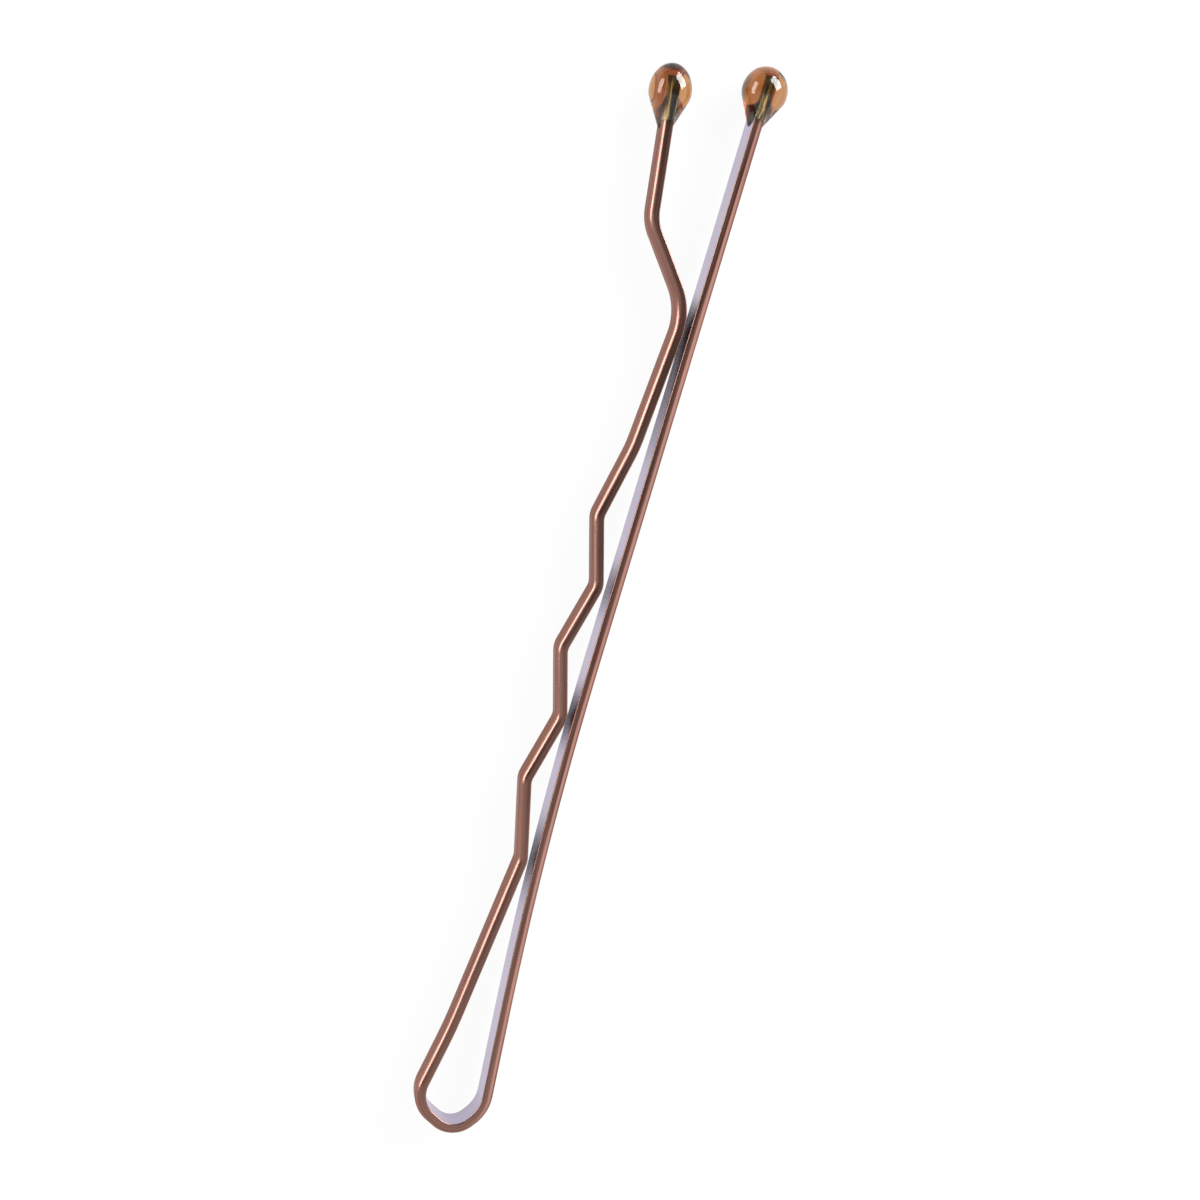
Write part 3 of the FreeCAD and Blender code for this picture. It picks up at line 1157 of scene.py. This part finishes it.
@dataclass(frozen=True)
class Viewpoint:
    """The camera, nearly over the pin and a little to its left.

    Attributes:
        eye: the camera's place, from the drawing's origin across, along and up from the floor.
        aim: the place at the middle of the picture, from the same origin.
        roll: turn of the camera about its line of sight, in degrees.
        focal: focal length in pixels of the picture.
        sensor: width of the camera's sensor.
        near: nearest distance that it sees.
    """

    eye: tuple[float, float, float] = (-30.295, 46.511, 151.38)
    aim: tuple[float, float, float] = (-0.734, 30.68, 1.975)
    roll: float = 16.78
    focal: float = 2849.7
    sensor: float = 36
    near: float = 10

    def build(self, placing: Placing) -> None:
        """Add the camera to the scene.

        Args:
            placing: where the drawing's origin lies.
        """
        camera = bpy.data.cameras.new("camera")
        camera.sensor_width = self.sensor
        camera.lens = self.sensor * self.focal / PICTURE
        camera.clip_start = self.near * MM
        sight = (Vector(self.aim) - Vector(self.eye)).normalized()
        level_right = sight.cross(Vector((0, 1, 0))).normalized()
        right = Matrix.Rotation(-math.radians(self.roll), 3, sight) @ level_right
        turn = Matrix((right, right.cross(sight), -sight)).transposed()
        view = bpy.data.objects.new("camera", camera)
        place = Vector(self.eye) * MM + Vector((placing.x, placing.y, 0))
        view.matrix_world = Matrix.Translation(place) @ turn.to_4x4()
        bpy.context.scene.collection.objects.link(view)
        bpy.context.scene.camera = view


@dataclass(frozen=True)
class Studio:
    """White floor, soft lamps, pale walls and camera.

    Attributes:
        floor_size: the floor's size.
        floor_white: the floor's colour.
        shadow_share: how strongly shadows show on the floor.
        nook_reach: distance within which the pin shades a nook of the floor.
        nook_dark: open share of the sky at which a nook is dark in mirrored light.
        nook_open: open share at which it is as white as the floor.
        nook_samples: rays that look for the open sky.
        ceiling: brightness of the ceiling.
        lamps: the lamps that light the pin.
        walls: the pale sides that it mirrors.
    """

    floor_size: float = 2000
    floor_white: str = "#f4f4f4"
    shadow_share: float = 0.06
    nook_reach: float = 1.05
    nook_dark: float = 0.42
    nook_open: float = 0.6
    nook_samples: int = 32
    ceiling: float = 0.14
    lamps: tuple[SoftBox, ...] = (
        SoftBox("left_softbox", bearing=174, elevation=22, width=280, height=120, brightness=7.0),
        SoftBox("back_softbox", bearing=55, elevation=26, width=280, height=180, brightness=13.0),
    )
    walls: tuple[Wall, ...] = (
        Wall("X", start=0.58, full=0.78, brightness=2.2),
        Wall("X", start=-0.7, full=-0.85, brightness=0.8),
        Wall("Y", start=-0.02, full=-0.34, brightness=1.0),
        Wall("Y", start=0.5, full=0.8, brightness=0.3),
    )

    def build(self, placing: Placing) -> None:
        """Add floor, lamps, surroundings and camera.

        Args:
            placing: where the drawing's origin lies.
        """
        self.floor()
        self.surroundings()
        for lamp in self.lamps:
            lamp.build()
        Viewpoint().build(placing)
        bpy.context.scene.view_settings.view_transform = "Standard"

    def floor(self) -> None:
        """Lay a floor of white paper.

        The camera, and light that is mirrored or let through, see it as white with a faint shadow.
        Mirrored light also sees it darken in nooks, where the legs nearly close over it: a painted shade, its
        glow dimmed by ambient occlusion.
        """
        half = self.floor_size / 2 * MM
        corners = np.array([[-half, -half, 0], [half, -half, 0], [half, half, 0], [-half, half, 0]])
        mesh = surface("floor", corners, [np.arange(4)[None]], np.tile([0.0, 0.0, 1.0], (4, 1)))
        material, tree = new_material("white paper")
        path = add_node(tree, "ShaderNodeLightPath").outputs
        mirrored = path["Is Glossy Ray"]
        through = path["Is Transmission Ray"]
        seen = path["Is Camera Ray"]
        for ray in (mirrored, through):
            seen = add_node(tree, "ShaderNodeMath", {0: seen, 1: ray}, operation="MAXIMUM").outputs["Value"]
        share = add_node(tree, "ShaderNodeMath", {0: seen, 1: 1 - self.shadow_share}, operation="MULTIPLY")
        only_mirrored = add_node(tree, "ShaderNodeMath", {0: mirrored, 1: through}, operation="GREATER_THAN")
        # Painted shade: ambient occlusion dims the floor's glow for mirrored light in nooks.
        nook = add_node(
            tree,
            "ShaderNodeAmbientOcclusion",
            {"Distance": self.nook_reach * MM},
            samples=self.nook_samples,
        )
        limits = {"Value": nook.outputs["AO"], "From Min": self.nook_dark, "From Max": self.nook_open}
        open_share = add_node(tree, "ShaderNodeMapRange", limits).outputs["Result"]
        white = add_node(tree, "ShaderNodeEmission", {"Strength": 1.0}).outputs["Emission"]
        painted_nook_shade = add_node(tree, "ShaderNodeEmission", {"Strength": open_share}).outputs["Emission"]
        shades = {"Fac": only_mirrored.outputs["Value"], 1: white, 2: painted_nook_shade}
        glow = add_node(tree, "ShaderNodeMixShader", shades).outputs["Shader"]
        paper = add_node(tree, "ShaderNodeBsdfDiffuse", {"Color": linear(self.floor_white)}).outputs["BSDF"]
        shades = {"Fac": share.outputs["Value"], 1: paper, 2: glow}
        shown = add_node(tree, "ShaderNodeMixShader", shades).outputs["Shader"]
        add_node(tree, "ShaderNodeOutputMaterial", {"Surface": shown})
        mesh.materials.append(material)
        floor = show("floor", mesh)

    def surroundings(self) -> None:
        """Make the studio's walls pale and its ceiling dim, and white where the camera sees them.

        Each direction takes the brightest of the walls that it points at.
        """
        world = bpy.data.worlds.new("studio")
        world.use_nodes = True
        tree = world.node_tree
        tree.nodes.clear()
        direction = add_node(tree, "ShaderNodeTexCoord")
        parts = add_node(tree, "ShaderNodeSeparateXYZ", {"Vector": direction.outputs["Generated"]})
        brightness = add_node(tree, "ShaderNodeLightPath").outputs["Is Camera Ray"]
        for wall in self.walls:
            limits = {"Value": parts.outputs[wall.axis], "From Min": wall.start, "From Max": wall.full}
            levels = {"To Min": self.ceiling, "To Max": wall.brightness}
            glow = add_node(tree, "ShaderNodeMapRange", limits | levels, interpolation_type="SMOOTHSTEP")
            pair = {0: brightness, 1: glow.outputs["Result"]}
            brightness = add_node(tree, "ShaderNodeMath", pair, operation="MAXIMUM").outputs["Value"]
        background = add_node(tree, "ShaderNodeBackground", {"Strength": brightness})
        add_node(tree, "ShaderNodeOutputWorld", {"Surface": background.outputs["Background"]})
        bpy.context.scene.world = world


def main() -> None:
    """Build the pin and its studio.

    The strip and both drops share one section, one placing and one set of dimensions.
    """
    logging.basicConfig(level=logging.INFO, format="%(name)s: %(message)s")
    shape = PinShape()
    section = StripSection(shape.strip_thickness)
    placing = Placing.from_frame(shape)
    # The inner side's pale lilac finish is a painted reflection.
    Strip(shape, section, placing, Lacquer().material(), PaleInnerFacePaintedReflection().material()).build()
    resin = Resin().material()
    drops = [
        Drop(
            "straight_leg_drop",
            "straight_leg_bead",
            Body.STRAIGHT,
            centre=shape.straight_bead,
            lean=0.0,
            diameter=shape.straight_bead_diameter,
            rise=shape.straight_bead_rise,
            section=section,
            placing=placing,
            finish=resin,
        ),
        Drop(
            "crimped_leg_drop",
            "crimped_leg_bead",
            Body.CRIMPED,
            centre=shape.crimped_bead,
            lean=shape.tip_lean,
            diameter=shape.crimped_bead_diameter,
            rise=shape.crimped_bead_rise,
            section=section,
            placing=placing,
            finish=resin,
        ),
    ]
    for drop in drops:
        drop.build()
    Studio().build(placing)


if __name__ == "__main__":
    main()
